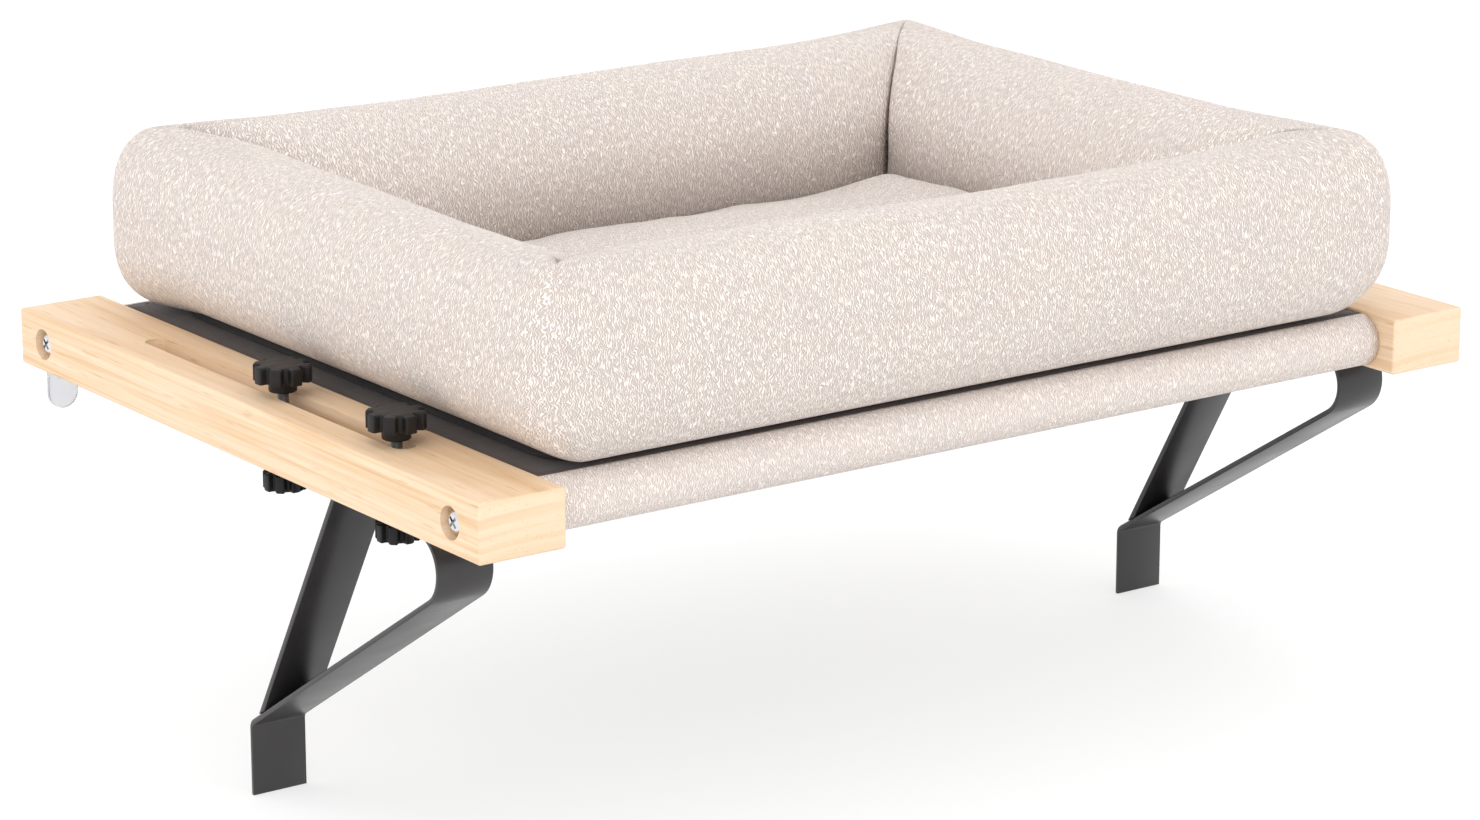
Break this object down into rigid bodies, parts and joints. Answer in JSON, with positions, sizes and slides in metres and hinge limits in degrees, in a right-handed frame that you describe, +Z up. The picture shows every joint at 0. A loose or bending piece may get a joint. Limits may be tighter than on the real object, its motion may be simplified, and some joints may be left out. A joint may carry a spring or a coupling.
{
  "type": "window cat bed",
  "caption": "Window-sill cat perch: wooden rails and a cloth sling carry a bolster bed, with sliding bent-steel brackets clamped by star knobs.",
  "frame": {"origin": "midway between the rails, on their undersides, in the plane of the wall pads' back faces", "axes": "+X across to the right rail, +Y from the room to the window, +Z up"},
  "size_m": [0.6, 0.4368, 0.2968],
  "materials": {
    "rail_wood": "clear satin varnish on pale wood",
    "rod_wood": "plain turned wood",
    "bed_fabric": "oatmeal textured knit",
    "sleeve_fabric": "oatmeal textured knit",
    "sling_fabric": "charcoal woven cloth",
    "base_fabric": "charcoal non-slip cloth",
    "bracket_steel": "fine matte black powder coat",
    "knob_plastic": "matte black moulded plastic",
    "stud_steel": "plain zinc-plated thread",
    "screw_steel": "bright nickel plate",
    "stop_plastic": "clear moulded plastic"
  },
  "bodies": {
    "frame": {"left_rail": "rail_wood", "right_rail": "rail_wood", "front_rod": "rod_wood", "rear_rod": "rod_wood", "rod_inserts": "stud_steel", "rod_washers": "screw_steel", "rod_screws": "screw_steel", "front_sleeve": "sleeve_fabric", "rear_sleeve": "sleeve_fabric", "sling_panel": "sling_fabric", "left_stop_plate": "stop_plastic", "right_stop_plate": "stop_plastic", "stop_plate_screws": "screw_steel"},
    "left_bracket": {"left_bracket_strip": "bracket_steel", "left_bracket_strut": "bracket_steel"},
    "left_front_stud": {"left_front_stud": "stud_steel"},
    "left_front_upper_knob": {"left_front_upper_knob": "knob_plastic"},
    "left_front_lower_nut": {"left_front_lower_nut": "stud_steel"},
    "left_front_lower_knob": {"left_front_lower_knob": "knob_plastic"},
    "left_rear_stud": {"left_rear_stud": "stud_steel"},
    "left_rear_upper_knob": {"left_rear_upper_knob": "knob_plastic"},
    "left_rear_lower_nut": {"left_rear_lower_nut": "stud_steel"},
    "left_rear_lower_knob": {"left_rear_lower_knob": "knob_plastic"},
    "right_bracket": {"right_bracket_strip": "bracket_steel", "right_bracket_strut": "bracket_steel"},
    "right_front_stud": {"right_front_stud": "stud_steel"},
    "right_front_upper_knob": {"right_front_upper_knob": "knob_plastic"},
    "right_front_lower_nut": {"right_front_lower_nut": "stud_steel"},
    "right_front_lower_knob": {"right_front_lower_knob": "knob_plastic"},
    "right_rear_stud": {"right_rear_stud": "stud_steel"},
    "right_rear_upper_knob": {"right_rear_upper_knob": "knob_plastic"},
    "right_rear_lower_nut": {"right_rear_lower_nut": "stud_steel"},
    "right_rear_lower_knob": {"right_rear_lower_knob": "knob_plastic"},
    "bed": {"front_bolster": "bed_fabric", "rear_bolster": "bed_fabric", "left_bolster": "bed_fabric", "right_bolster": "bed_fabric", "base_cushion": "bed_fabric", "bed_base_cloth": "base_fabric"}
  },
  "joints": [
    {"name": "left_bracket_slide", "type": "slide", "parent": "frame", "child": "left_bracket", "axis": [0, 1, 0], "range_m": [-0.0085, 0.125]},
    {"name": "left_front_stud_lift", "type": "slide", "parent": "left_bracket", "child": "left_front_stud", "axis": [0, 0, 1], "range_m": [-0.0018, 0.004]},
    {"name": "left_front_upper_knob_turn", "type": "hinge", "parent": "left_front_stud", "child": "left_front_upper_knob", "pos_m": [-0.2765, -0.118, 0.038], "axis": [0, 0, 1], "range_deg": [-650, 1442]},
    {"name": "left_front_lower_nut_drop", "type": "slide", "parent": "left_bracket", "child": "left_front_lower_nut", "axis": [0, 0, -1], "range_m": [0, 0.004]},
    {"name": "left_front_lower_knob_turn", "type": "hinge", "parent": "left_front_lower_nut", "child": "left_front_lower_knob", "pos_m": [-0.2765, -0.118, -0.01], "axis": [0, 0, -1], "range_deg": [-1, 1442]},
    {"name": "left_rear_stud_lift", "type": "slide", "parent": "left_bracket", "child": "left_rear_stud", "axis": [0, 0, 1], "range_m": [-0.0018, 0.004]},
    {"name": "left_rear_upper_knob_turn", "type": "hinge", "parent": "left_rear_stud", "child": "left_rear_upper_knob", "pos_m": [-0.2765, -0.0155, 0.038], "axis": [0, 0, 1], "range_deg": [-650, 1442]},
    {"name": "left_rear_lower_nut_drop", "type": "slide", "parent": "left_bracket", "child": "left_rear_lower_nut", "axis": [0, 0, -1], "range_m": [0, 0.004]},
    {"name": "left_rear_lower_knob_turn", "type": "hinge", "parent": "left_rear_lower_nut", "child": "left_rear_lower_knob", "pos_m": [-0.2765, -0.0155, -0.01], "axis": [0, 0, -1], "range_deg": [-1, 1442]},
    {"name": "right_bracket_slide", "type": "slide", "parent": "frame", "child": "right_bracket", "axis": [0, 1, 0], "range_m": [-0.0085, 0.125]},
    {"name": "right_front_stud_lift", "type": "slide", "parent": "right_bracket", "child": "right_front_stud", "axis": [0, 0, 1], "range_m": [-0.0018, 0.004]},
    {"name": "right_front_upper_knob_turn", "type": "hinge", "parent": "right_front_stud", "child": "right_front_upper_knob", "pos_m": [0.2765, -0.118, 0.038], "axis": [0, 0, 1], "range_deg": [-650, 1442]},
    {"name": "right_front_lower_nut_drop", "type": "slide", "parent": "right_bracket", "child": "right_front_lower_nut", "axis": [0, 0, -1], "range_m": [0, 0.004]},
    {"name": "right_front_lower_knob_turn", "type": "hinge", "parent": "right_front_lower_nut", "child": "right_front_lower_knob", "pos_m": [0.2765, -0.118, -0.01], "axis": [0, 0, -1], "range_deg": [-1, 1442]},
    {"name": "right_rear_stud_lift", "type": "slide", "parent": "right_bracket", "child": "right_rear_stud", "axis": [0, 0, 1], "range_m": [-0.0018, 0.004]},
    {"name": "right_rear_upper_knob_turn", "type": "hinge", "parent": "right_rear_stud", "child": "right_rear_upper_knob", "pos_m": [0.2765, -0.0155, 0.038], "axis": [0, 0, 1], "range_deg": [-650, 1442]},
    {"name": "right_rear_lower_nut_drop", "type": "slide", "parent": "right_bracket", "child": "right_rear_lower_nut", "axis": [0, 0, -1], "range_m": [0, 0.004]},
    {"name": "right_rear_lower_knob_turn", "type": "hinge", "parent": "right_rear_lower_nut", "child": "right_rear_lower_knob", "pos_m": [0.2765, -0.0155, -0.01], "axis": [0, 0, -1], "range_deg": [-1, 1442]},
    {"name": "bed_lift", "type": "slide", "parent": "frame", "child": "bed", "axis": [0, 0, 1], "range_m": [0, 0.16]}
  ],
  "couplings": [
    {"joint": "left_front_upper_knob_turn", "follows": "left_front_stud_lift", "rad_per_m": 6283.2},
    {"joint": "left_front_lower_knob_turn", "follows": "left_front_lower_nut_drop", "rad_per_m": 6283.2},
    {"joint": "left_rear_upper_knob_turn", "follows": "left_rear_stud_lift", "rad_per_m": 6283.2},
    {"joint": "left_rear_lower_knob_turn", "follows": "left_rear_lower_nut_drop", "rad_per_m": 6283.2},
    {"joint": "right_front_upper_knob_turn", "follows": "right_front_stud_lift", "rad_per_m": 6283.2},
    {"joint": "right_front_lower_knob_turn", "follows": "right_front_lower_nut_drop", "rad_per_m": 6283.2},
    {"joint": "right_rear_upper_knob_turn", "follows": "right_rear_stud_lift", "rad_per_m": 6283.2},
    {"joint": "right_rear_lower_knob_turn", "follows": "right_rear_lower_nut_drop", "rad_per_m": 6283.2}
  ]
}
